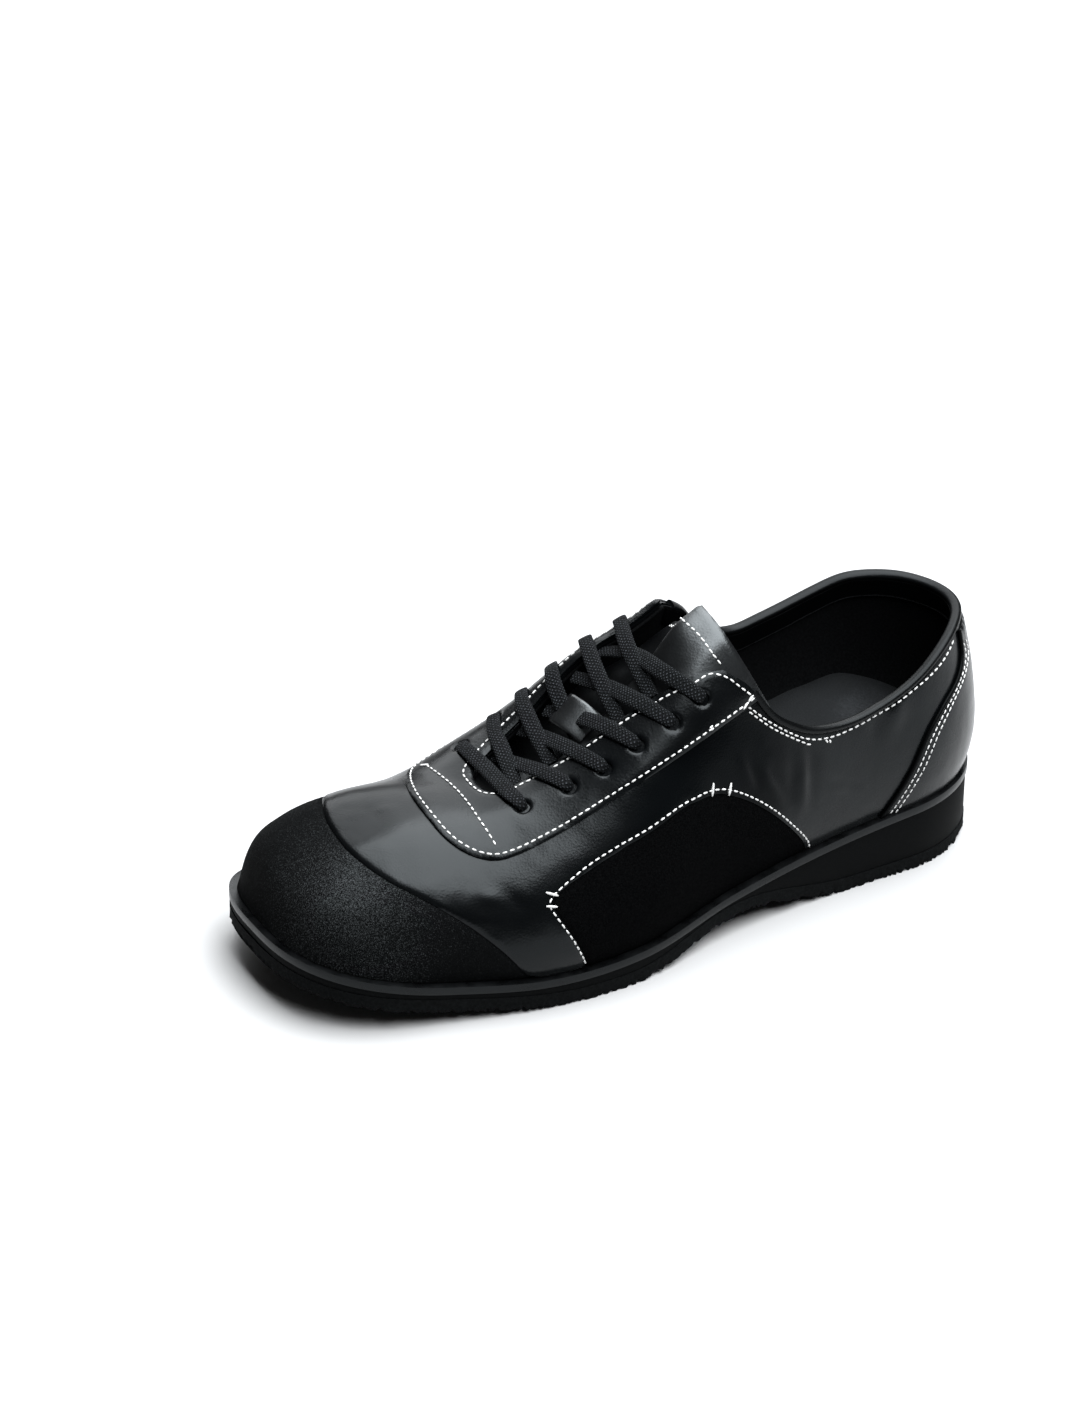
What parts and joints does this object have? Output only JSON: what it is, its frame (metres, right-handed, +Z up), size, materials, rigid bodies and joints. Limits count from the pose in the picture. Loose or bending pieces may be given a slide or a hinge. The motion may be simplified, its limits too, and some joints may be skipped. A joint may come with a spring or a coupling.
{
  "type": "training shoe",
  "caption": "Left low lace-up shoe in smooth leather and suede, hollow upper open at collar and throat, tongue, flat laces, wedge sole with crepe outsole",
  "frame": {"origin": "middle of the footprint, on the floor that the shoe stands on", "axes": "X runs along the shoe with the toe towards -X, Y across with the outer side towards -Y, +Z up"},
  "size_m": [0.3016, 0.112, 0.1238],
  "materials": {
    "crepe": "matt black crepe rubber with a rough, uneven edge",
    "wedge_foam": "matt black foam rubber",
    "welt_rubber": "smooth dark grey edge strip, satin",
    "insole_leather": "dark grey lining leather, fine grain",
    "leather": "smooth black calf leather, soft gloss, light creases",
    "suede": "black suede, matt nap",
    "lace": "flat woven black lace, lightly waxed"
  },
  "bodies": {
    "root": {"outsole": "crepe", "midsole_wedge": "wedge_foam", "welt": "welt_rubber", "insole": "insole_leather", "upper": "leather", "toe_cap": "suede", "side_panel_lateral": "suede", "side_panel_medial": "suede", "lace_facing": "leather", "heel_counter": "leather", "collar_binding": "leather", "tongue": "leather", "tongue_loop": "leather", "lace_bar": "lace", "lace_cross_1": "lace", "lace_cross_2": "lace", "lace_cross_3": "lace", "lace_cross_4": "lace", "lace_cross_5": "lace"}
  },
  "joints": []
}
